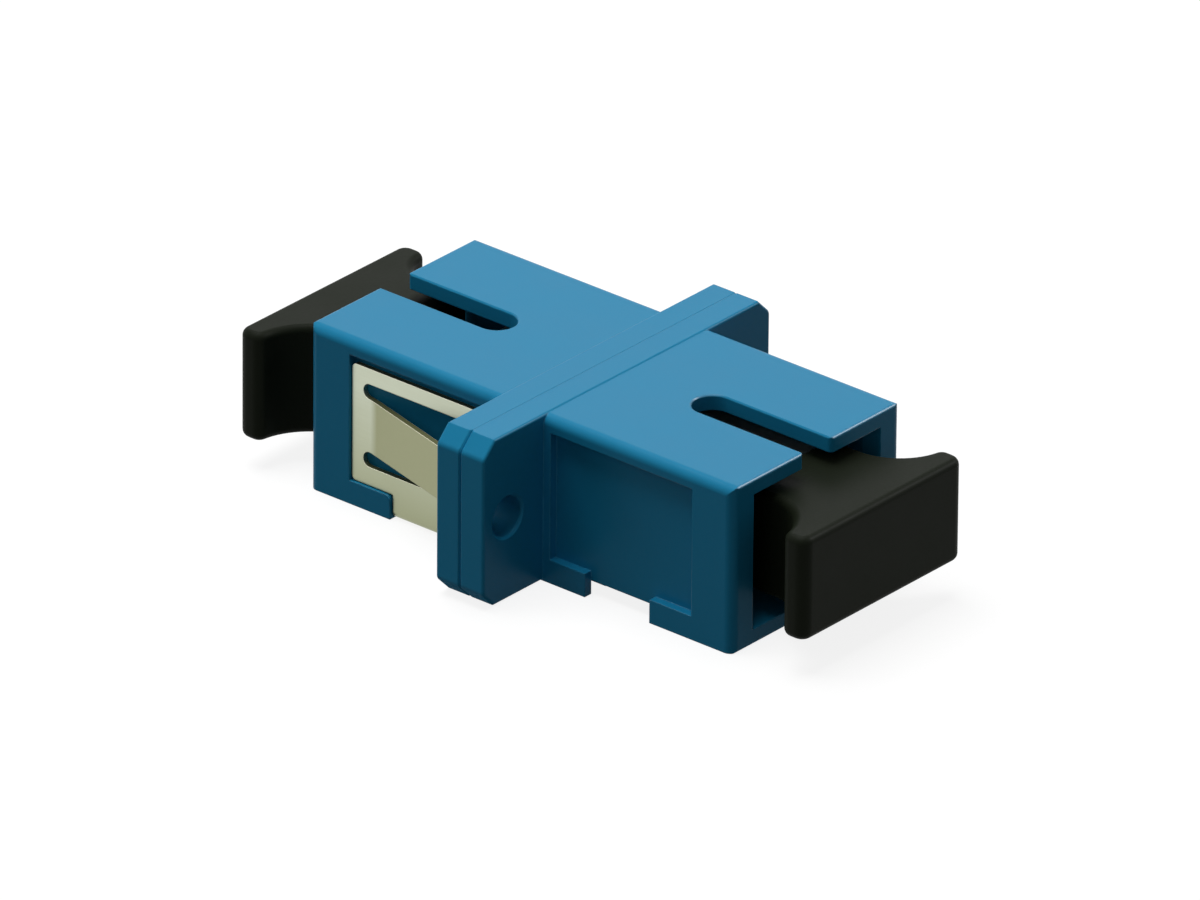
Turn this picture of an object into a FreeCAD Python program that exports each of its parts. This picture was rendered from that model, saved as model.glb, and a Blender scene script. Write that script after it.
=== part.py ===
import FreeCAD, Part
import math
import os
import types

import Sketcher
from FreeCAD import Rotation, Vector

# Simplex fibre adapter for two push-pull plugs with 2.5 mm ferrules.
# X runs along the optical axis, Y across the flange and Z up towards the keyways.
# The origin is on the optical axis in the parting plane. All lengths are in millimetres.
# The front half is at +X. The rear half, at -X, carries the panel clip.
# Each moulding is drawn at +X and the rear ones are turned half a turn about Z.

driving = [
    # Housing half
    ("halfLength", 13.85, "parting plane to the mouth"),
    ("bodyWidth", 12.9, "outside, along Y"),
    ("bodyHeight", 9.2, "outside, along Z"),
    ("topRound", 0.5, "radius of the two upper long edges"),
    ("mouthCornerRound", 0.5, "radius of the upright edges at the mouth"),
    ("mouthEdgeRound", 0.14, "radius of the level edges at the mouth"),
    ("sideWall", 1.9, "body's side to the plug opening"),
    ("topWall", 0.85, "top and bottom of the body to the plug opening"),
    ("leadIn", 0.33, "how far each side wall opens at the mouth"),
    ("leadInDepth", 0.9, "length of that opening"),
    ("keywayWidth", 2.12, "slot for the plug's key"),
    ("keywayLength", 7.85, "mouth to the round end of the slot"),
    ("keywayChamfer", 0.08, "along the slot's top edge"),
    ("keywayMouthRound", 0.25, "radius of the slot's upright edges at the mouth"),
    # Flange
    ("earReach", 4.55, "flange past each side of the body, along Y"),
    ("flangePlate", 1.55, "thickness of one half's plate"),
    ("flangeCorner", 0.85, "cut off each corner"),
    ("flangeTipRound", 0.4, "radius where that cut meets the tip"),
    ("flangeProud", 0.05, "plate above the top of the body"),
    ("flangeInset", 0.03, "plate short of the bottom of the body"),
    ("flangeEdgeRound", 0.15, "radius round the outer face"),
    ("seamChamfer", 0.1, "half of the groove between the plates"),
    ("screwEdge", 1.85, "centre of a screw hole to the flange's tip"),
    ("screwHole", 2.2, "diameter"),
    ("screwRim", 2.44, "diameter of the countersunk rim"),
    # Pin and socket that line the halves up
    ("pinDiameter", 1.0, "locating pin"),
    ("pinHeight", 0.7, "locating pin"),
    ("pinInside", 0.05, "centre of the pins past the body's side, along Y"),
    ("pinLevel", 2.7, "centre of the pin above the axis"),
    ("pinClearance", 0.03, "round and beyond each pin"),
    # Clip recess in both sides of each half
    ("recessPost", 0.45, "wall left beside the flange"),
    ("recessLength", 9.2, "along X"),
    ("recessTop", 0.85, "below the top of the body"),
    ("recessLedge", 1.3, "above the bottom of the body"),
    ("recessDepth", 0.48, "into the side"),
    ("footLength", 2.3, "post to the strap notch"),
    ("strapNotch", 4.2, "along X"),
    ("strapNotchDepth", 0.36, "into the bottom"),
    ("bendRelief", 0.78, "height of the room for the clip's bends"),
    ("bendReliefReach", 1.6, "how far that room reaches in from the side"),
    ("footTab", 0.5, "foot left standing in front of that room"),
    ("footTabLength", 1.1, "how far the room runs on behind the foot beside the flange"),
    ("footRound", 0.3, "radius of one foot's upper corner"),
    # Latch holder
    ("baseSide", 0.6, "base plate past the plug opening, along Y"),
    ("baseTop", 0.2, "base plate past the plug opening, along Z"),
    ("basePlate", 1.45, "base plate thickness"),
    ("baseRound", 0.4, "radius of its corners"),
    ("baseClearance", 0.05, "round the base plate in its pocket"),
    ("baseEndPlay", 0.02, "between the base plate and the pocket floor"),
    ("tubeOuter", 4.6, "diameter of the sleeve tube"),
    ("tubeLip", 1.05, "wall that keeps the sleeve in"),
    ("tubeChamfer", 0.25, "outside of the tube's end"),
    ("ferruleBore", 2.9, "hole in that wall"),
    ("ferruleLeadIn", 0.35, "countersink of that hole"),
    ("armGap", 3.55, "axis to the inside of a latch arm"),
    ("armThickness", 0.75, "along Y"),
    ("armHeight", 3.2, "along Z"),
    ("armEnd", 10.15, "parting plane to the tip"),
    ("armRootRound", 0.3, "radius where an arm leaves the base plate"),
    ("hookLength", 1.3, "along X"),
    ("hookFlat", 0.4, "flat of the hook's nose"),
    ("hookHeight", 0.5, "nose above the arm"),
    ("windowMargin", 0.1, "mould window past the arm, each way along Z"),
    # Alignment sleeve
    ("sleeveOuter", 3.2, "diameter"),
    ("sleeveInner", 2.5, "diameter, the size of a ferrule"),
    ("sleeveLength", 11.4, "along X"),
    ("sleeveSlit", 0.5, "width of the slit along its top"),
    ("sleeveClearance", 0.02, "round the sleeve in the tube"),
    ("sleeveEndPlay", 0.05, "between the sleeve and each lip"),
    # Panel clip
    ("clipSheet", 0.3, "thickness of the steel"),
    ("clipInset", 0.15, "clip's face inside the side of the body"),
    ("clipPlay", 0.05, "between the clip and the ends of its recess"),
    ("clipDrop", 0.47, "clip's top edge below the top of the recess"),
    ("clipBend", 0.1, "inside radius of the two bends"),
    ("clipCorner", 0.3, "radius of the plates' corners"),
    ("strapPlay", 0.06, "between the strap and each side of its notch"),
    ("strapInset", 0.03, "strap above the bottom of the body"),
    ("windowPost", 0.9, "steel left beside the flange"),
    ("windowCorner", 0.2, "radius of the window's corners beside that steel"),
    ("tongueRoot", 1.2, "clip's end to the root of the tongue"),
    ("tongueTop", 0.86, "clip's top edge to the slot above the tongue"),
    ("tongueSlot", 0.84, "slot above and below the tongue"),
    ("tongueBelow", 1.03, "steel left between the lower slot and the ledge"),
    ("tongueLength", 6.65, "along the slope"),
    ("tongueAngle", 15.5, "degrees out of the plate"),
    ("tongueBend", 1.2, "inside radius at the root"),
    ("slotOverrun", 0.45, "slots past the root of the tongue"),
    # Dust cap
    ("handleInset", 0.3, "handle's end inside the side of the body"),
    ("handleRoom", 0.9, "neck to the top and bottom of the plug opening"),
    ("handleThickness", 1.45, "along X, at the handle's ends"),
    ("handleStandOff", 2.9, "mouth to the back of the handle's ends"),
    ("handleLift", 0.25, "middle of the handle above the axis"),
    ("handleFlare", 0.55, "back of the handle thicker at the neck"),
    ("handleRound", 0.3, "radius of the handle's upright front edges"),
    ("handleBackRound", 0.2, "radius of its upright back edges"),
    ("capEdgeRound", 0.25, "radius of the level edges"),
    ("neckWidth", 6.8, "along Y"),
    ("neckRound", 3.15, "hollow radius from neck to handle"),
    ("neckEntry", 1.8, "neck inside the mouth"),
    ("barrelOuter", 5.6, "diameter of the barrel over the tube"),
    ("barrelClearance", 0.08, "round the tube in the barrel"),
    ("barrelSeat", 0.05, "barrel's end short of the base plate"),
    ("barrelFloor", 1.2, "solid end of the barrel under the neck"),
    # Drawing aid
    ("overcut", 1.0, "how far a cut runs past the face that it opens"),
]


class Size:
    """A number together with the sheet formula that gives it."""

    def __init__(self, value, formula):
        self.value = value
        self.formula = formula

    def __neg__(self):
        return Size(-self.value, f"-({self.formula})")

    def __add__(self, other):
        return Size(self.value + plain(other), f"({self.formula} + {wording(other)})")

    def __sub__(self, other):
        return Size(self.value - plain(other), f"({self.formula} - {wording(other)})")

    def __mul__(self, other):
        return Size(self.value * plain(other), f"{self.formula} * {wording(other)}")

    def __truediv__(self, other):
        return Size(self.value / plain(other), f"{self.formula} / {wording(other)}")


def plain(term):
    return term.value if isinstance(term, Size) else term


def wording(term):
    return term.formula if isinstance(term, Size) else str(term)


def trig(name, angle):
    turn = getattr(math, name)
    return Size(turn(math.radians(angle.value)), f"{name}({angle.formula})")


doc = FreeCAD.newDocument("fibre_adapter")
sheet = doc.addObject("Spreadsheet::Sheet", "sizes")
for row, (alias, number, note) in enumerate(driving, start=1):
    sheet.set(f"A{row}", note)
    sheet.set(f"B{row}", str(number))
    sheet.setAlias(f"B{row}", alias)
doc.recompute()

dim = types.SimpleNamespace(**{alias: Size(number, f"sizes.{alias}") for alias, number, note in driving})
centre = Size(0.0, "0")

# Lengths that more than one piece reads
bodyTop = dim.bodyHeight / 2
bodySide = dim.bodyWidth / 2
portSide = bodySide - dim.sideWall
portTop = bodyTop - dim.topWall
flangeTip = bodySide + dim.earReach
recessStart = dim.flangePlate + dim.recessPost
recessEnd = recessStart + dim.recessLength
ledgeTop = -bodyTop + dim.recessLedge
notchStart = recessStart + dim.footLength
notchEnd = notchStart + dim.strapNotch
pocketDepth = dim.basePlate + dim.baseEndPlay
sleeveSeat = dim.sleeveLength / 2 + dim.sleeveEndPlay
tubeEnd = sleeveSeat + dim.tubeLip
hookBack = dim.armEnd - dim.hookLength
hookNose = dim.armGap - dim.hookHeight
baseEdge = portSide + dim.baseSide
baseCrown = portTop + dim.baseTop


def originFeature(body, role):
    return next(item for item in body.Origin.OriginFeatures if item.Role == role)


def newBody(label, backToFront=False):
    body = doc.addObject("PartDesign::Body", label)
    body.Label = label
    if backToFront:
        body.Placement = FreeCAD.Placement(Vector(), Rotation(Vector(0, 0, 1), 180))
    return body


def newSketch(body, label, role, lift=None):
    """Sketch on one of the body's own planes, or lifted off it along the plane's normal."""
    sketch = body.newObject("Sketcher::SketchObject", f"{label}Sketch")
    sketch.AttachmentSupport = (originFeature(body, role), [""])
    sketch.MapMode = "FlatFace"
    if lift is not None:
        sketch.setExpression("AttachmentOffset.Base.z", lift.formula)
    return sketch


def constrain(sketch, constraint, size):
    index = sketch.addConstraint(constraint)
    sketch.setExpression(f"Constraints[{index}]", size.formula)


def place(sketch, geometry, position, across, up):
    for kind, size in (("DistanceX", across), ("DistanceY", up)):
        constrain(sketch, Sketcher.Constraint(kind, -1, 1, geometry, position, size.value), size)


def drawOutline(sketch, corners, rounds=()):
    """Closed outline of straight lines; rounds lists (corner number, radius)."""
    first = sketch.GeometryCount
    count = len(corners)
    points = [Vector(across.value, up.value, 0) for across, up in corners]
    for index in range(count):
        sketch.addGeometry(Part.LineSegment(points[index], points[(index + 1) % count]), False)
    for index in range(count):
        after = first + (index + 1) % count
        sketch.addConstraint(Sketcher.Constraint("Coincident", first + index, 2, after, 1))
    for index, (across, up) in enumerate(corners):
        place(sketch, first + index, 1, across, up)
    for corner, radius in rounds:
        arc = sketch.GeometryCount
        sketch.fillet(first + (corner - 1) % count, 2, radius.value, True, True)
        constrain(sketch, Sketcher.Constraint("Radius", arc, radius.value), radius)


def drawBlock(sketch, left, right, low, high, radius=None):
    corners = [(left, low), (right, low), (right, high), (left, high)]
    drawOutline(sketch, corners, [(corner, radius) for corner in range(4)] if radius else ())


def drawCircle(sketch, diameter, across=centre, up=centre):
    middle = Vector(across.value, up.value, 0)
    circle = sketch.addGeometry(Part.Circle(middle, Vector(0, 0, 1), diameter.value / 2), False)
    place(sketch, circle, 3, across, up)
    constrain(sketch, Sketcher.Constraint("Diameter", circle, diameter.value), diameter)


def extrude(kind, body, label, sketch, length, bothWays, reverse):
    feature = body.newObject(f"PartDesign::{kind}", label)
    feature.Profile = sketch
    if length is None:
        feature.Type = "ThroughAll"
    else:
        feature.setExpression("Length", length.formula)
    feature.SideType = "Symmetric" if bothWays else "One side"
    feature.Reversed = reverse
    doc.recompute()
    return feature


def pad(body, label, sketch, length, bothWays=False, reverse=False):
    return extrude("Pad", body, label, sketch, length, bothWays, reverse)


def pocket(body, label, sketch, length=None, bothWays=False, reverse=False):
    before = body.Shape.Volume
    feature = extrude("Pocket", body, label, sketch, length, bothWays, reverse)
    if not feature.Shape.Volume < before:
        raise RuntimeError(f"{label} on {body.Label} cuts nothing")
    return feature


def mirror(body, label, feature):
    """Repeat a feature on the other side of the XZ plane."""
    copy = body.newObject("PartDesign::Mirrored", label)
    copy.Originals = [feature]
    copy.MirrorPlane = (originFeature(body, "XZ_Plane"), [""])
    body.Tip = copy
    doc.recompute()


def near(number, size):
    return abs(number - plain(size)) < 1e-4


def dress(kind, body, label, size, wanted):
    """Round or chamfer the edges whose bounding box passes the test."""
    base = body.Tip
    names = [f"Edge{number}" for number, edge in enumerate(base.Shape.Edges, start=1) if wanted(edge.BoundBox)]
    if not names:
        raise RuntimeError(f"{label} on {body.Label} finds no edge")
    feature = body.newObject(f"PartDesign::{kind}", label)
    feature.Base = (base, names)
    feature.setExpression("Radius" if kind == "Fillet" else "Size", size.formula)
    doc.recompute()


def flange(body):
    low = -bodyTop + dim.flangeInset
    high = bodyTop + dim.flangeProud
    tip = flangeTip
    cut = dim.flangeCorner
    sketch = newSketch(body, "Flange", "YZ_Plane")
    drawOutline(sketch, [(-tip + cut, low), (tip - cut, low), (tip, low + cut), (tip, high - cut),
                         (tip - cut, high), (-tip + cut, high), (-tip, high - cut), (-tip, low + cut)],
                [(corner, dim.flangeTipRound) for corner in (2, 3, 6, 7)])
    pad(body, "Flange", sketch, dim.flangePlate)
    dress("Fillet", body, "FlangeEdge", dim.flangeEdgeRound, lambda box: near(box.XMin, dim.flangePlate))
    dress("Chamfer", body, "SeamChamfer", dim.seamChamfer,
          lambda box: near(box.XMax, 0) and box.YLength < plain(tip))


def roundMouth(body, label, role, side, radius):
    """Round two opposite edges of the mouth by cutting along them right through the shell."""
    sketch = newSketch(body, label, role)
    past = dim.halfLength + dim.overcut
    back = dim.halfLength - radius * 2
    for sign in (1, -1):
        face = side * sign
        outer = face + dim.overcut * sign
        inner = face - radius * 2 * sign
        drawOutline(sketch, [(past, outer), (back, outer), (back, face), (dim.halfLength, face),
                             (dim.halfLength, inner), (past, inner)], [(3, radius)])
    pocket(body, label, sketch, bothWays=True)


def shell(body):
    sketch = newSketch(body, "Shell", "YZ_Plane")
    drawOutline(sketch, [(-bodySide, -bodyTop), (bodySide, -bodyTop),
                         (bodySide, bodyTop), (-bodySide, bodyTop)],
                [(2, dim.topRound), (3, dim.topRound)])
    pad(body, "Shell", sketch, dim.halfLength)

    roundMouth(body, "MouthCorner", "XY_Plane", bodySide, dim.mouthCornerRound)
    roundMouth(body, "MouthEdge", "XZ_Plane", bodyTop, dim.mouthEdgeRound)


def port(body):
    sketch = newSketch(body, "Port", "YZ_Plane")
    drawBlock(sketch, -portSide, portSide, -portTop, portTop)
    pocket(body, "Port", sketch, reverse=True)

    taper = newSketch(body, "LeadIn", "XY_Plane")
    start = dim.halfLength - dim.leadInDepth
    for side in (1, -1):
        wall = portSide * side
        drawOutline(taper, [(start, wall), (dim.halfLength, wall), (dim.halfLength, wall + dim.leadIn * side)])
    pocket(body, "LeadIn", taper, portTop * 2, bothWays=True)

    seat = newSketch(body, "HolderPocket", "YZ_Plane")
    acrossY = baseEdge + dim.baseClearance
    upZ = baseCrown + dim.baseClearance
    drawBlock(seat, -acrossY, acrossY, -upZ, upZ, dim.baseRound)
    pocket(body, "HolderPocket", seat, pocketDepth, reverse=True)


def keyway(body):
    roundEnd = dim.halfLength - dim.keywayLength + dim.keywayWidth / 2
    sketch = newSketch(body, "Keyway", "XY_Plane")
    halfWidth = dim.keywayWidth / 2
    past = dim.halfLength + dim.overcut
    drawBlock(sketch, roundEnd, past, -halfWidth, halfWidth)
    pocket(body, "Keyway", sketch, reverse=True)
    end = newSketch(body, "KeywayEnd", "XY_Plane")
    drawCircle(end, dim.keywayWidth, roundEnd)
    pocket(body, "KeywayEnd", end, reverse=True)
    dress("Chamfer", body, "KeywayEdge", dim.keywayChamfer,
          lambda box: near(box.ZMin, bodyTop) and near(box.ZMax, bodyTop) and box.XMin > plain(dim.flangePlate)
          and box.YMax < plain(halfWidth) + 1e-4 and box.YMin > -plain(halfWidth) - 1e-4)

    # Round the slot's corners where it opens at the mouth
    mouth = newSketch(body, "KeywayMouth", "XY_Plane")
    start = dim.halfLength - dim.keywayMouthRound * 2
    flared = halfWidth + dim.keywayMouthRound * 2
    drawOutline(mouth, [(start, -halfWidth), (dim.halfLength, -halfWidth), (dim.halfLength, -flared),
                        (past, -flared), (past, flared), (dim.halfLength, flared),
                        (dim.halfLength, halfWidth), (start, halfWidth)],
                [(1, dim.keywayMouthRound), (6, dim.keywayMouthRound)])
    pocket(body, "KeywayMouth", mouth, reverse=True)


def clipRecess(body):
    below = -bodyTop - dim.overcut
    top = bodyTop - dim.recessTop
    for side in (1, -1):
        label = "RecessLeft" if side > 0 else "RecessRight"
        sketch = newSketch(body, label, "XZ_Plane", bodySide * -side)
        corners = [(recessStart, top), (recessEnd, top), (recessEnd, ledgeTop), (notchEnd, ledgeTop),
                   (notchEnd, below), (notchStart, below), (notchStart, ledgeTop), (recessStart, ledgeTop)]
        drawOutline(sketch, corners, [(3, dim.footRound)] if side > 0 else ())
        pocket(body, label, sketch, dim.recessDepth, reverse=side > 0)

    notch = newSketch(body, "StrapNotch", "XZ_Plane")
    drawBlock(notch, notchStart, notchEnd, below, -bodyTop + dim.strapNotchDepth)
    pocket(body, "StrapNotch", notch, bothWays=True)
    relief = newSketch(body, "BendRelief", "XY_Plane", -bodyTop)
    outside = bodySide + dim.overcut
    inner = bodySide - dim.bendReliefReach
    tab = bodySide - dim.footTab
    behind = notchStart - dim.footTabLength
    drawOutline(relief, [(notchStart, outside), (notchStart, tab), (behind, tab), (behind, inner),
                         (notchEnd, inner), (notchEnd, outside)])
    mirror(body, "BendReliefs", pocket(body, "BendRelief", relief, dim.bendRelief, reverse=True))


def flangeHoles(body):
    sketch = newSketch(body, "ScrewHole", "YZ_Plane")
    for side in (1, -1):
        drawCircle(sketch, dim.screwHole, (flangeTip - dim.screwEdge) * side)
    pocket(body, "ScrewHole", sketch, reverse=True)
    rim = (dim.screwRim - dim.screwHole) / 2
    dress("Chamfer", body, "ScrewRim", rim,
          lambda box: near(box.XMin, dim.flangePlate) and near(box.XMax, dim.flangePlate)
          and near(box.YLength, dim.screwHole))


def locatingPin(body):
    """Pin on one ear and its socket on the other, so that each half lines up the other."""
    offset = bodySide + dim.pinInside
    pin = newSketch(body, "LocatingPin", "YZ_Plane")
    drawCircle(pin, dim.pinDiameter, offset, dim.pinLevel)
    pad(body, "LocatingPin", pin, dim.pinHeight, reverse=True)
    socket = newSketch(body, "PinSocket", "YZ_Plane")
    drawCircle(socket, dim.pinDiameter + dim.pinClearance * 2, -offset, dim.pinLevel)
    pocket(body, "PinSocket", socket, dim.pinHeight + dim.pinClearance, reverse=True)


def housingHalf(label, backToFront=False):
    body = newBody(label, backToFront)
    flange(body)
    shell(body)
    port(body)
    keyway(body)
    clipRecess(body)
    flangeHoles(body)
    locatingPin(body)
    return body


def latchArms(body):
    sketch = newSketch(body, "LatchArm", "XY_Plane")
    outside = dim.armGap + dim.armThickness
    root = dim.basePlate / 2
    drawOutline(sketch, [(root, dim.armGap), (hookBack, dim.armGap), (hookBack, hookNose),
                         (hookBack + dim.hookFlat, hookNose), (dim.armEnd, dim.armGap + dim.hookHeight / 4),
                         (dim.armEnd, outside), (root, outside)])
    mirror(body, "LatchArms", pad(body, "LatchArm", sketch, dim.armHeight, bothWays=True))
    dress("Fillet", body, "ArmRoot", dim.armRootRound,
          lambda box: near(box.XMin, dim.basePlate) and near(box.ZLength, dim.armHeight)
          and near(max(abs(box.YMin), abs(box.YMax)), outside))

    windows = newSketch(body, "MouldWindow", "YZ_Plane")
    reach = dim.armHeight / 2 + dim.windowMargin
    drawBlock(windows, hookNose, dim.armGap, -reach, reach)
    drawBlock(windows, -dim.armGap, -hookNose, -reach, reach)
    pocket(body, "MouldWindow", windows, dim.basePlate, reverse=True)


def latchHolder(label, backToFront=False):
    body = newBody(label, backToFront)
    base = newSketch(body, "BasePlate", "YZ_Plane")
    drawBlock(base, -baseEdge, baseEdge, -baseCrown, baseCrown, dim.baseRound)
    pad(body, "BasePlate", base, dim.basePlate)
    tube = newSketch(body, "SleeveTube", "YZ_Plane")
    drawCircle(tube, dim.tubeOuter)
    pad(body, "SleeveTube", tube, tubeEnd)
    dress("Chamfer", body, "TubeChamfer", dim.tubeChamfer, lambda box: near(box.XMin, tubeEnd))
    latchArms(body)

    bore = newSketch(body, "SleeveBore", "YZ_Plane")
    drawCircle(bore, dim.sleeveOuter + dim.sleeveClearance * 2)
    pocket(body, "SleeveBore", bore, sleeveSeat, reverse=True)
    hole = newSketch(body, "FerruleHole", "YZ_Plane")
    drawCircle(hole, dim.ferruleBore)
    pocket(body, "FerruleHole", hole, reverse=True)
    dress("Chamfer", body, "FerruleLeadIn", dim.ferruleLeadIn,
          lambda box: near(box.XMin, tubeEnd) and near(box.YLength, dim.ferruleBore))
    return body


def alignmentSleeve(label):
    body = newBody(label)
    ring = newSketch(body, "Ring", "YZ_Plane")
    drawCircle(ring, dim.sleeveOuter)
    drawCircle(ring, dim.sleeveInner)
    pad(body, "Ring", ring, dim.sleeveLength, bothWays=True)
    slit = newSketch(body, "Slit", "YZ_Plane")
    drawBlock(slit, -dim.sleeveSlit / 2, dim.sleeveSlit / 2, centre, dim.sleeveOuter)
    pocket(body, "Slit", slit, bothWays=True)
    return body


def panelClip(label):
    body = newBody(label, backToFront=True)
    start = recessStart + dim.clipPlay
    length = dim.recessLength - dim.clipPlay * 2
    end = start + length
    outside = bodySide - dim.clipInset
    inside = outside - dim.clipSheet
    top = bodyTop - dim.recessTop - dim.clipDrop
    bottom = -bodyTop + dim.strapInset
    floor = bottom + dim.clipSheet

    # One strip folded into a U round the bottom of the body
    profile = newSketch(body, "FoldedStrip", "YZ_Plane", start)
    outerBend = dim.clipBend + dim.clipSheet
    drawOutline(profile, [(-outside, top), (-outside, bottom), (outside, bottom), (outside, top),
                          (inside, top), (inside, floor), (-inside, floor), (-inside, top)],
                [(1, outerBend), (2, outerBend), (5, dim.clipBend), (6, dim.clipBend)])
    pad(body, "FoldedStrip", profile, length)

    # The side plates end on the ledges; only the strap passes through the notch
    trim = newSketch(body, "StrapTrim", "XZ_Plane")
    edge = ledgeTop + dim.clipPlay
    low = bottom - dim.overcut
    drawBlock(trim, start - dim.overcut, notchStart + dim.strapPlay, low, edge)
    drawBlock(trim, notchEnd - dim.strapPlay, end + dim.overcut, low, edge)
    pocket(body, "StrapTrim", trim, bothWays=True)
    dress("Fillet", body, "PlateCorner", dim.clipCorner,
          lambda box: near(box.YLength, dim.clipSheet) and box.XLength < 1e-4 and box.ZLength < 1e-4
          and (near(box.XMin, start) or near(box.XMin, end)))

    # Window whose right-hand end runs on as a round-ended slot above and below the tongue
    root = end - dim.tongueRoot
    slotTop = top - dim.tongueTop
    tongueTop = slotTop - dim.tongueSlot
    slotLow = edge + dim.tongueBelow
    tongueLow = slotLow + dim.tongueSlot
    left = start + dim.windowPost
    slotEnd = root + dim.slotOverrun
    slotRound = dim.tongueSlot / 2 * 0.98
    window = newSketch(body, "Window", "XZ_Plane")
    drawOutline(window, [(left, slotLow), (slotEnd, slotLow), (slotEnd, tongueLow), (root, tongueLow),
                         (root, tongueTop), (slotEnd, tongueTop), (slotEnd, slotTop), (left, slotTop)],
                [(0, dim.windowCorner), (1, slotRound), (2, slotRound),
                 (5, slotRound), (6, slotRound), (7, dim.windowCorner)])
    pocket(body, "Window", window, bothWays=True)

    # Tongue bent out of the plate, pointing towards the flange
    tongue = newSketch(body, "Tongue", "XY_Plane", (tongueTop + tongueLow) / 2)
    along = trig("cos", dim.tongueAngle)
    out = trig("sin", dim.tongueAngle)
    shift = dim.clipSheet * trig("tan", dim.tongueAngle / 2)
    tipX = root - dim.tongueLength * along
    tipY = outside + dim.tongueLength * out
    drawOutline(tongue, [(root + dim.tongueRoot / 2, outside), (root, outside), (tipX, tipY),
                         (tipX - dim.clipSheet * out, tipY - dim.clipSheet * along),
                         (root - shift, inside), (root + dim.tongueRoot / 2, inside)],
                [(1, dim.tongueBend), (4, dim.tongueBend + dim.clipSheet)])
    mirror(body, "Tongues", pad(body, "Tongue", tongue, tongueTop - tongueLow, bothWays=True))
    return body


def dustCap(label, backToFront=False):
    body = newBody(label, backToFront)
    neckEnd = dim.halfLength - dim.neckEntry
    back = dim.halfLength + dim.handleStandOff
    face = back + dim.handleThickness
    neck = dim.neckWidth / 2
    tip = bodySide - dim.handleInset
    height = (portTop - dim.handleRoom) * 2
    outline = newSketch(body, "Handle", "XY_Plane", dim.handleLift)
    thick = back - dim.handleFlare
    drawOutline(outline, [(neckEnd, -neck), (thick, -neck), (back, -tip), (face, -tip),
                          (face, tip), (back, tip), (thick, neck), (neckEnd, neck)],
                [(1, dim.neckRound), (2, dim.handleBackRound), (3, dim.handleRound),
                 (4, dim.handleRound), (5, dim.handleBackRound), (6, dim.neckRound)])
    pad(body, "Handle", outline, height, bothWays=True)
    top = dim.handleLift + height / 2
    bottom = dim.handleLift - height / 2
    dress("Fillet", body, "HandleEdge", dim.capEdgeRound,
          lambda box: box.ZLength < 1e-4 and (near(box.ZMax, top) or near(box.ZMin, bottom))
          and box.XMax > plain(neckEnd) + 1e-4)

    mouth = dim.basePlate + dim.barrelSeat
    barrel = newSketch(body, "Barrel", "YZ_Plane", mouth)
    drawCircle(barrel, dim.barrelOuter)
    pad(body, "Barrel", barrel, neckEnd - mouth + dim.neckEntry / 2)
    bore = newSketch(body, "BarrelBore", "YZ_Plane", mouth)
    drawCircle(bore, dim.tubeOuter + dim.barrelClearance * 2)
    pocket(body, "BarrelBore", bore, neckEnd - mouth - dim.barrelFloor, reverse=True)
    return body


pieces = [
    housingHalf("housing_front"),
    housingHalf("housing_rear", backToFront=True),
    latchHolder("latch_holder_front"),
    latchHolder("latch_holder_rear", backToFront=True),
    alignmentSleeve("alignment_sleeve"),
    panelClip("panel_clip"),
    dustCap("dust_cap_front"),
    dustCap("dust_cap_rear", backToFront=True),
]
doc.recompute()

failed = [item.Name for item in doc.Objects if "Invalid" in item.State or "Error" in item.State]
if failed:
    raise RuntimeError(f"features failed: {failed}")
os.makedirs("parts", exist_ok=True)
for piece in pieces:
    shape = piece.Shape
    if shape.isNull() or not shape.isValid() or len(shape.Solids) != 1:
        raise RuntimeError(f"{piece.Label} is not one sound solid")
    shape.exportStep(f"parts/{piece.Label}.step")
    print(f"{piece.Label}: {shape.Volume:.2f} mm3")
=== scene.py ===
import math

import bmesh
import bpy
from mathutils import Matrix, Vector


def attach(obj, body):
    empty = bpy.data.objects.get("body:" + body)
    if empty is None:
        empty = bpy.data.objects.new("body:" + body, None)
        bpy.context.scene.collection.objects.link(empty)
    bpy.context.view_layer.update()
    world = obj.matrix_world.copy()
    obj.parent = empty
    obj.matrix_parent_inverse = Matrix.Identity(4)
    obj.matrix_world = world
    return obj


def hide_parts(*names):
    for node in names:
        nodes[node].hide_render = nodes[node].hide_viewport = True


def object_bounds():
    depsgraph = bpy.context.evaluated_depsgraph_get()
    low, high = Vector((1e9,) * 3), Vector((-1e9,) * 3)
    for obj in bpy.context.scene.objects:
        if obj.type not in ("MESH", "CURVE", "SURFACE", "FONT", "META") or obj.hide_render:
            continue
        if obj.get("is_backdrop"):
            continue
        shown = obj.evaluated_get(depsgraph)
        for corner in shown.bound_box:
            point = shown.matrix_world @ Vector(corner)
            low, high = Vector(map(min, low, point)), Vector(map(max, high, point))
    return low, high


# Fibre adapter: two blue moulded halves, a steel panel clip and two soft black caps.
# Everything is in metres in the adapter's own frame, +X along the optical axis.

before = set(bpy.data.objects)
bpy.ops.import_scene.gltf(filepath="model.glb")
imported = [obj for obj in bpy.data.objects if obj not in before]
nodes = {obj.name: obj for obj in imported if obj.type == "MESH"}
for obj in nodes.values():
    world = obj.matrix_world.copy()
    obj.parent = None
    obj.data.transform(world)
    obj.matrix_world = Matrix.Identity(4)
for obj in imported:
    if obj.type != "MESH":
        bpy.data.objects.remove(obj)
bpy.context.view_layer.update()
mm = 0.001
print("frame loaded:", ", ".join(sorted(nodes)))


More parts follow.
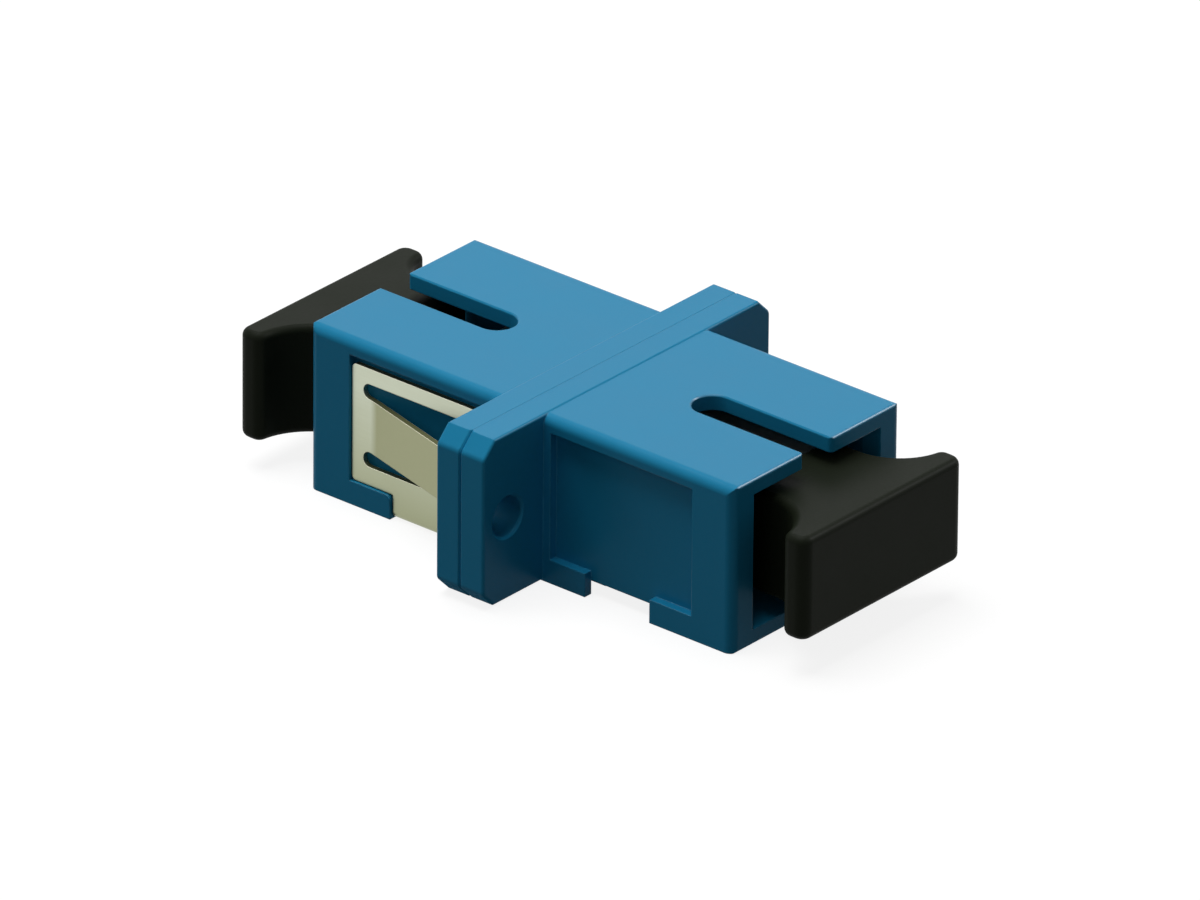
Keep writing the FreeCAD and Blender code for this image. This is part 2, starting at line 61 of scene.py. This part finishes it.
class Shade:
    # Wraps one output socket, so that sums and products of masks read as plain Python.
    def __init__(self, tree, socket=None):
        self.tree = tree
        self.socket = socket

    def node(self, kind, settings=None, inputs=None, output=0):
        # Adds any shader node: its settings first, then the values or links of its sockets.
        made = self.tree.nodes.new("ShaderNode" + kind)
        for name, value in (settings or {}).items():
            setattr(made, name, value)
        for name, value in (inputs or {}).items():
            if isinstance(value, Shade):
                self.tree.links.new(value.socket, made.inputs[name])
            else:
                made.inputs[name].default_value = value
        return Shade(self.tree, made.outputs[output])

    def math(self, operation, first, second=0.0):
        return self.node("Math", {"operation": operation}, {0: first, 1: second})

    def __add__(self, other):
        return self.math("ADD", self, other)

    def __radd__(self, other):
        return self.math("ADD", other, self)

    def __sub__(self, other):
        return self.math("SUBTRACT", self, other)

    def __rsub__(self, other):
        return self.math("SUBTRACT", other, self)

    def __mul__(self, other):
        return self.math("MULTIPLY", self, other)

    def __rmul__(self, other):
        return self.math("MULTIPLY", other, self)

    def __abs__(self):
        return self.math("ABSOLUTE", self)

    def clamp(self):
        return self.node("Clamp", {}, {"Value": self})

    def past(self, start, fade):
        # Mask that rises from 0 at the start to 1 one fade further on.
        return ((self - start) * (1 / fade)).clamp()

    def part(self, number):
        # One component of a vector.
        return self.node("SeparateXYZ", {}, {"Vector": self}, number)

    def blend(self, first, second):
        # This mask as a mix of two colours, each given as a tuple or as a socket.
        first, second = (tone if isinstance(tone, Shade) else (*tone, 1) for tone in (first, second))
        return self.node("Mix", {"data_type": "RGBA"}, {0: self, 6: first, 7: second}, 2)

    def noise(self, scale, detail, roughness=0.55, stretch=None):
        vector = self.node("Mapping", {}, {"Vector": self, "Scale": stretch}) if stretch else self
        sockets = {"Vector": vector, "Scale": scale, "Detail": detail, "Roughness": roughness}
        return self.node("TexNoise", {}, sockets)

    def bump(self, strength, distance, under=None):
        # This mask as a relief, on a normal that another node gives, or on the face's own.
        sockets = {"Strength": strength, "Distance": distance, "Height": self}
        return self.node("Bump", {}, {**sockets, "Normal": under} if under else sockets)

    def rounded(self, radius, samples):
        # The normal as it would be with every edge rounded.
        return self.node("Bevel", {"samples": samples}, {"Radius": radius})

    def faceNormal(self):
        return self.node("NewGeometry", {}, {}, "True Normal")


def newMaterial(name):
    material = bpy.data.materials.new(name)
    material.use_nodes = True
    material.node_tree.nodes.clear()
    shade = Shade(material.node_tree)
    place = shade.node("TexCoord", {}, {}, "Object")
    return material, shade, place


def finishTree(shade, kind, surface):
    output = shade.tree.nodes.new("ShaderNodeOutput" + kind)
    shade.tree.links.new(surface.socket, output.inputs["Surface"])


def dress(names, material):
    for name in names:
        slots = nodes[name].data.materials
        slots.clear()
        slots.append(material)


bluePlastic = {
    "colour": (0.010, 0.208, 0.385),
    "faded": (0.014, 0.226, 0.408),
    "specular": 0.06,
    "roughness": 0.32,
    "roughnessBelow": 0.6,  # duller where a face looks down
    "cloudRoughness": 0.10,  # how much each pattern changes the roughness
    "grainRoughness": 0.06,
    "cloud": {"scale": 260, "detail": 3},  # slow drift of tone and gloss, about 4 mm across
    "grain": {"scale": 9000, "detail": 2, "roughness": 0.6},  # fine spark-eroded texture of the mould
    "relief": {"strength": 0.35, "distance": 0.0000035},
    "edge": {"radius": 0.00008, "samples": 6},
    "rubbed": {"radius": 0.00012, "samples": 8},  # glossier strip along each edge
    "rubbedRoughness": 0.38,
    "edgePolish": 1.0,  # how fast the gloss rises in that strip
    "upperPolish": 3.0,  # and how much more where the edge looks up
    "chamferPolish": 2.4,  # gloss of the small chamfers that cross the axis
    "seamEnd": 0.0003,  # the groove at the parting plane has no polish
    "flangeEnd": 0.0038,  # and the flange's chamfers have none
    "polishFade": 0.00025,
}


def turnedAway(face, turned):
    # Mask of the edges: how far the rounded normal turns away from the face.
    return 1 - face.node("VectorMath", {"operation": "DOT_PRODUCT"}, {0: turned, 1: face}, "Value")


def rubbedEdges(place, face, turned, spec):
    # Mask of the glossier strips: sharp edges, and the small chamfers round the mouths and keyways.
    along = abs(place.part(0))
    sharp = turnedAway(face, turned) * (spec["edgePolish"] + spec["upperPolish"] * turned.part(2).clamp())
    chamfer = spec["chamferPolish"] * (abs(face.part(0)) * face.part(2).clamp())
    sharp = sharp * along.past(spec["seamEnd"], spec["polishFade"])
    chamfer = chamfer * along.past(spec["flangeEnd"], spec["polishFade"])
    return (sharp + chamfer).clamp()


def makeBluePlastic(name, spec):
    material, shade, place = newMaterial(name)
    cloud = place.noise(**spec["cloud"])
    grain = place.noise(**spec["grain"])
    face = shade.faceNormal()
    turned = shade.rounded(**spec["rubbed"])
    below = (0 - face.part(2)).clamp()
    drift = spec["cloudRoughness"] * (cloud - 0.5) + spec["grainRoughness"] * (grain - 0.5)
    tone = cloud.blend(spec["colour"], spec["faded"])
    satin = shade.node("BsdfPrincipled", {}, {
        "Base Color": tone,
        "Roughness": spec["roughness"] + drift + spec["roughnessBelow"] * below,
        "Specular IOR Level": spec["specular"],
        "Normal": grain.bump(**spec["relief"], under=shade.rounded(**spec["edge"])),
    })
    glossy = shade.node("BsdfPrincipled", {}, {
        "Base Color": tone,
        "Roughness": spec["rubbedRoughness"],
        "Normal": turned,
    })
    polish = rubbedEdges(place, face, turned, spec)
    finishTree(shade, "Material", shade.node("MixShader", {}, {0: polish, 1: satin, 2: glossy}))
    return material


clipSteel = {
    "dark": (0.47, 0.50, 0.38),
    "light": (0.58, 0.62, 0.50),
    "paintedTongueReflectionTone": (0.30, 0.31, 0.18),  # painted darker reflection on the tongues, past where the sheet leaves the plate
    "bendStart": 0.00632,  # distance from the middle plane where a tongue leaves the plate
    "bendFade": 0.00014,
    "paintedLowReflectionTone": (0.31, 0.325, 0.19),  # painted darker reflection: the plates turn to it from their upper to their lower edge
    "paintedLowReflectionStart": -0.0022,  # below the axis
    "paintedLowReflectionFade": 0.0076,
    "paintedCutShadeTone": (0.10, 0.105, 0.04),  # painted shade on the shorn sides of the sheet where they look up
    # share of the metal that the painted shade on the shorn sides takes away
    "paintedCutShadeDullness": 0.85,
    "paintedGlintTone": (0.98, 0.94, 0.76),  # painted highlight, a bright line along the upper edges of the shorn sides
    "paintedGlint": {"radius": 0.00005, "samples": 8},
    "paintedGlintGain": 9.0,
    "roughness": 0.34,
    "lineRoughness": 0.10,
    # rolled along the strip
    "lines": {"scale": 1.0, "detail": 4, "roughness": 0.6, "stretch": (500, 9000, 9000)},
    "cloud": {"scale": 420, "detail": 2},
    "lineShare": 0.6,  # of the tone's drift, the rest is cloud
    "relief": {"strength": 0.4, "distance": 0.000002},
    "edge": {"radius": 0.00006, "samples": 4},
}


def makeClipSteel(name, spec):
    material, shade, place = newMaterial(name)
    lines = place.noise(**spec["lines"])
    cloud = place.noise(**spec["cloud"])
    drift = (spec["lineShare"] * lines + (1 - spec["lineShare"]) * cloud).clamp()
    # Painted darker reflection, on the tongues beyond where they leave the plate.
    paintedTongueReflection = abs(place.part(1)).past(spec["bendStart"], spec["bendFade"])
    # Painted darker reflection, growing from the plates' upper to their lower edge.
    low = (0 - place.part(2)).past(spec["paintedLowReflectionStart"], spec["paintedLowReflectionFade"])
    face = shade.faceNormal()
    turned = shade.rounded(**spec["paintedGlint"])
    # Painted shade on the faces that look up, the shorn sides, which also turn mostly non-metallic.
    paintedCutShade = face.part(2).clamp()
    # Painted highlight, a bright line where the rounded normal turns away from the face and looks up.
    paintedGlint = (spec["paintedGlintGain"] * turnedAway(face, turned) * turned.part(2).clamp()).clamp()
    sheet = low.blend(drift.blend(spec["dark"], spec["light"]), spec["paintedLowReflectionTone"])
    tone = paintedTongueReflection.blend(sheet, spec["paintedTongueReflectionTone"])
    surface = shade.node("BsdfPrincipled", {}, {
        "Base Color": paintedGlint.blend(paintedCutShade.blend(tone, spec["paintedCutShadeTone"]), spec["paintedGlintTone"]),
        "Metallic": 1 - spec["paintedCutShadeDullness"] * paintedCutShade * (1 - paintedGlint),
        "Roughness": spec["roughness"] + spec["lineRoughness"] * (lines - 0.5),
        "Normal": lines.bump(**spec["relief"], under=shade.rounded(**spec["edge"])),
    })
    finishTree(shade, "Material", surface)
    return material


capPlastic = {
    "dark": (0.0064, 0.0086, 0.0046),
    "light": (0.0094, 0.0122, 0.0072),
    "specular": 0.045,
    "coat": 0.0,
    "roughness": 0.5,
    "cloudRoughness": 0.12,
    "grainRoughness": 0.08,
    "cloud": {"scale": 330, "detail": 3},
    "grain": {"scale": 5200, "detail": 3, "roughness": 0.6},
    "relief": {"strength": 0.45, "distance": 0.000006},
}
latchPlastic = {
    "dark": (0.66, 0.66, 0.60),
    "light": (0.72, 0.72, 0.67),
    "specular": 0.5,
    "coat": 0.0,
    "roughness": 0.42,
    "cloudRoughness": 0.1,
    "grainRoughness": 0.0,
    "cloud": {"scale": 300, "detail": 3},
    "grain": {"scale": 7000, "detail": 2},
    "relief": {"strength": 0.3, "distance": 0.000003},
}
sleeveCeramic = {
    "dark": (0.80, 0.80, 0.76),
    "light": (0.86, 0.86, 0.83),
    "specular": 0.5,
    "coat": 0.3,
    "roughness": 0.12,
    "cloudRoughness": 0.0,
    "grainRoughness": 0.06,
    "cloud": {"scale": 900, "detail": 3},
    "grain": {"scale": 1.0, "detail": 2, "stretch": (6000, 600, 600)},  # rings left by the grinding
    "relief": {"strength": 0.2, "distance": 0.000001},
}


def makeEvenMaterial(name, spec):
    # A tone that drifts a little, with a fine relief.
    material, shade, place = newMaterial(name)
    cloud = place.noise(**spec["cloud"])
    grain = place.noise(**spec["grain"])
    drift = spec["cloudRoughness"] * (cloud - 0.5) + spec["grainRoughness"] * (grain - 0.5)
    surface = shade.node("BsdfPrincipled", {}, {
        "Base Color": cloud.blend(spec["dark"], spec["light"]),
        "Roughness": spec["roughness"] + drift,
        "Specular IOR Level": spec["specular"],
        "Coat Weight": spec["coat"],
        "Normal": grain.bump(**spec["relief"]),
    })
    finishTree(shade, "Material", surface)
    return material


dress(["housing_front", "housing_rear"], makeBluePlastic("blue_plastic_moulded", bluePlastic))
dress(["panel_clip"], makeClipSteel("clip_steel_rolled", clipSteel))
dress(["latch_holder_front", "latch_holder_rear"], makeEvenMaterial("latch_plastic_natural", latchPlastic))
dress(["alignment_sleeve"], makeEvenMaterial("sleeve_ceramic_polished", sleeveCeramic))
print("hard parts dressed")


dustCap = {
    "neckHalf": 3.4,  # millimetres from here on
    "handleHalf": 6.15,
    "handleLow": -2.6,
    "handleHigh": 3.1,
    "neckStart": 12.05,  # along X from the parting plane
    "neckTurn": 16.2,  # where the neck's side would meet the flare
    "handleBack": 16.75,
    "handleFace": 18.2,
    "neckCurve": (2.3, 14),  # radius and steps
    "backCorner": (0.45, 5),
    "faceCorner": (0.65, 7),
    "levelEdge": (0.4, 6),
    "barrelMouth": 1.5,
    "barrelOuter": 2.8,
    "barrelBore": 2.38,
    "barrelFloor": 10.85,
    "barrelOverlap": 0.6,  # barrel inside the neck
    "barrelSteps": 64,
    "lean": 0.0,  # how far the loose handle has been pushed aside
}
weldGap = 0.002
levelGap = 0.01  # how near to the same height or place counts as the same
rearDustCap = {**dustCap, "handleHalf": 6.38, "handleLow": -2.95, "lean": 0.58}


def joined(shape, piece):
    # Adds a finished shell to the piece's mesh.
    part = bpy.data.meshes.new("shell")
    bmesh.ops.remove_doubles(shape, verts=shape.verts, dist=weldGap)
    bmesh.ops.recalc_face_normals(shape, faces=shape.faces)
    shape.to_mesh(part)
    shape.free()
    piece.from_mesh(part)
    bpy.data.meshes.remove(part)


def capHandle(spec):
    # Neck and flared handle: the outline seen from above, its corners rounded, then raised.
    shape = bmesh.new()
    neck, tip = spec["neckHalf"], spec["handleHalf"]
    half = [(spec["neckStart"], -neck), (spec["neckTurn"], -neck),
            (spec["handleBack"], -tip), (spec["handleFace"], -tip)]
    outline = half + [(along, -across) for along, across in reversed(half)]
    corners = [shape.verts.new((along, across, spec["handleLow"])) for along, across in outline]
    shape.faces.new(corners)
    for name, pair in (("neckCurve", (1, 6)), ("backCorner", (2, 5)), ("faceCorner", (3, 4))):
        radius, steps = spec[name]
        bmesh.ops.bevel(shape, geom=[corners[number] for number in pair], offset=radius, offset_type="OFFSET",
                        segments=steps, profile=0.5, affect="VERTICES", material=-1)
    top = bmesh.ops.extrude_face_region(shape, geom=shape.faces[:])["geom"]
    raised = [part for part in top if isinstance(part, bmesh.types.BMVert)]
    bmesh.ops.translate(shape, verts=raised, vec=(0, 0, spec["handleHigh"] - spec["handleLow"]))
    level = [edge for edge in shape.edges if abs(edge.verts[0].co.z - edge.verts[1].co.z) < levelGap
             and max(point.co.x for point in edge.verts) > spec["neckStart"] + levelGap]
    radius, steps = spec["levelEdge"]
    bmesh.ops.bevel(shape, geom=level, offset=radius, offset_type="OFFSET", segments=steps,
                    profile=0.5, affect="EDGES", clamp_overlap=True, material=-1)
    return shape


def capBarrel(spec):
    # Tube over the sleeve holder, spun from half of its section, with its floor under the neck.
    shape = bmesh.new()
    mouth, outer, bore = spec["barrelMouth"], spec["barrelOuter"], spec["barrelBore"]
    floor, end = spec["barrelFloor"], spec["neckStart"] + spec["barrelOverlap"]
    soft = (outer - bore) / 3
    section = [(floor, 0), (floor, bore), (mouth + soft, bore), (mouth, bore + soft),
               (mouth, outer - soft), (mouth + soft, outer), (end, outer), (end, 0)]
    points = [shape.verts.new((along, 0, radius)) for along, radius in section]
    runs = [shape.edges.new(pair) for pair in zip(points, points[1:])]
    bmesh.ops.spin(shape, geom=points + runs, cent=(0, 0, 0), axis=(1, 0, 0), angle=math.tau,
                   steps=spec["barrelSteps"], use_merge=True, use_duplicate=False)
    return shape


def makeDustCap(end, spec, material):
    piece = bmesh.new()
    joined(capHandle(spec), piece)
    joined(capBarrel(spec), piece)
    span = spec["handleBack"] - spec["neckStart"]
    for vert in piece.verts:
        vert.co.y += spec["lean"] * max(0.0, min(1.0, (vert.co.x - spec["neckStart"]) / span))
    bmesh.ops.scale(piece, verts=piece.verts, vec=(mm, mm, mm))
    if end == "rear":
        halfTurn = Matrix.Rotation(math.pi, 3, "Z")
        bmesh.ops.rotate(piece, verts=piece.verts, cent=(0, 0, 0), matrix=halfTurn)
    mesh = bpy.data.meshes.new("soft_cap_" + end)
    piece.to_mesh(mesh)
    piece.free()
    mesh.shade_smooth()
    cap = bpy.data.objects.new("soft_cap_" + end, mesh)
    bpy.context.collection.objects.link(cap)
    weighted = cap.modifiers.new("evenShading", "WEIGHTED_NORMAL")
    weighted.keep_sharp = True
    mesh.materials.append(material)
    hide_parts("dust_cap_" + end)
    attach(cap, end + "_cap")


softBlack = makeEvenMaterial("cap_plastic_soft", capPlastic)
makeDustCap("front", dustCap, softBlack)
makeDustCap("rear", rearDustCap, softBlack)
print("dust caps made")


studio = {
    "floorDrop": 0.00002,  # floor below the lowest point of the body
    "floorSize": 1.6,
    "floorBounce": 0.05,  # how much light the floor sends back to the object
    "floorShown": 0.86,  # plain white part of what the camera sees of the floor
    "floorShaded": 0.18,  # part of it that takes the object's shadow
    "skyLight": 0.15,
    "lamps": {
        "key": {"place": (-0.09, -0.02, 0.44), "size": (0.32, 0.32), "power": 1.9, "lightsFaces": True},
        "back": {"place": (-0.36, 0.46, 0.30), "size": (0.40, 0.20), "power": 0.4, "lightsFaces": True},
        "side": {"place": (-0.40, -0.28, 0.22), "size": (0.20, 0.20), "power": 0.20, "lightsFaces": True},
        "rim": {"place": (0.32, 0.48, 0.40), "size": (0.16, 0.08), "power": 3.0, "lightsFaces": False},
    },
}


def seenDirectly(shade):
    # Mask of the rays that look at the studio itself, instead of gathering its light.
    seen = shade.node("LightPath", {}, {}, "Is Camera Ray")
    mirrored = shade.node("LightPath", {}, {}, "Is Glossy Ray")
    through = shade.node("LightPath", {}, {}, "Is Transmission Ray")
    return (seen + mirrored + through).clamp()


def makeFloor(spec):
    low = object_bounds()[0].z - spec["floorDrop"]
    mesh = bpy.data.meshes.new("studioFloor")
    shape = bmesh.new()
    bmesh.ops.create_grid(shape, x_segments=1, y_segments=1, size=spec["floorSize"] / 2)
    bmesh.ops.translate(shape, verts=shape.verts, vec=(0, 0, low))
    shape.to_mesh(mesh)
    shape.free()
    floor = bpy.data.objects.new("studioFloor", mesh)
    bpy.context.collection.objects.link(floor)
    material, shade, _ = newMaterial("studio_floor")
    bounce, shaded = (shade.node("BsdfDiffuse", {}, {"Color": (spec[level],) * 3 + (1,)})
                      for level in ("floorBounce", "floorShaded"))
    white = shade.node("Emission", {}, {"Color": (1, 1, 1, 1), "Strength": spec["floorShown"]})
    shown = shade.node("AddShader", {}, {0: white, 1: shaded})
    finishTree(shade, "Material", shade.node("MixShader", {}, {0: seenDirectly(shade), 1: bounce, 2: shown}))
    mesh.materials.append(material)
    floor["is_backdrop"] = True


def makeWorld(spec):
    world = bpy.data.worlds.new("studio")
    bpy.context.scene.world = world
    world.use_nodes = True
    world.node_tree.nodes.clear()
    shade = Shade(world.node_tree)
    sky = shade.node("Background", {}, {"Color": (1, 1, 1, 1), "Strength": spec["skyLight"]})
    white = shade.node("Background", {}, {"Color": (1, 1, 1, 1), "Strength": 1.0})
    finishTree(shade, "World", shade.node("MixShader", {}, {0: seenDirectly(shade), 1: sky, 2: white}))


def makeLamp(name, spec):
    data = bpy.data.lights.new(name, "AREA")
    data.shape = "RECTANGLE"
    data.size, data.size_y = spec["size"]
    data.energy = spec["power"]
    lamp = bpy.data.objects.new(name, data)
    bpy.context.collection.objects.link(lamp)
    lamp.location = spec["place"]
    lamp.rotation_mode = "QUATERNION"
    lamp.rotation_quaternion = (-lamp.location).to_track_quat("-Z", "Y")
    lamp.visible_diffuse = spec["lightsFaces"]  # without it a lamp only draws bright lines along the edges


photoCamera = {
    "azimuth": 40.218,
    "elevation": 26.989,
    "roll": 0.478,
    "distance": 1.1296,
    "across": 0.000182,
    "up": 0.000272,
    "pixelsPerMetre": 20059.3,
    "imageWidth": 1200,
}


def makeCamera(spec):
    azimuth, elevation, roll = (math.radians(spec[key]) for key in ("azimuth", "elevation", "roll"))
    flat = math.cos(elevation)
    back = Vector((math.sin(azimuth) * flat, -math.cos(azimuth) * flat, math.sin(elevation)))
    level = (-back).cross(Vector((0, 0, 1))).normalized()
    raised = level.cross(-back)
    right = level * math.cos(roll) + raised * math.sin(roll)
    up = raised * math.cos(roll) - level * math.sin(roll)
    data = bpy.data.cameras.new("photoCamera")
    data.sensor_width = 36
    data.lens = 36 * spec["pixelsPerMetre"] * spec["distance"] / spec["imageWidth"]
    data.clip_start = 0.01
    data.clip_end = 10
    camera = bpy.data.objects.new("photoCamera", data)
    bpy.context.collection.objects.link(camera)
    turn = Matrix((right, up, back)).transposed()
    place = back * spec["distance"] - right * spec["across"] - up * spec["up"]
    camera.matrix_world = Matrix.Translation(place) @ turn.to_4x4()
    bpy.context.scene.camera = camera


makeFloor(studio)
makeWorld(studio)
for name, lamp in studio["lamps"].items():
    makeLamp(name, lamp)
makeCamera(photoCamera)
bpy.context.scene.view_settings.view_transform = "Standard"
print("studio ready")
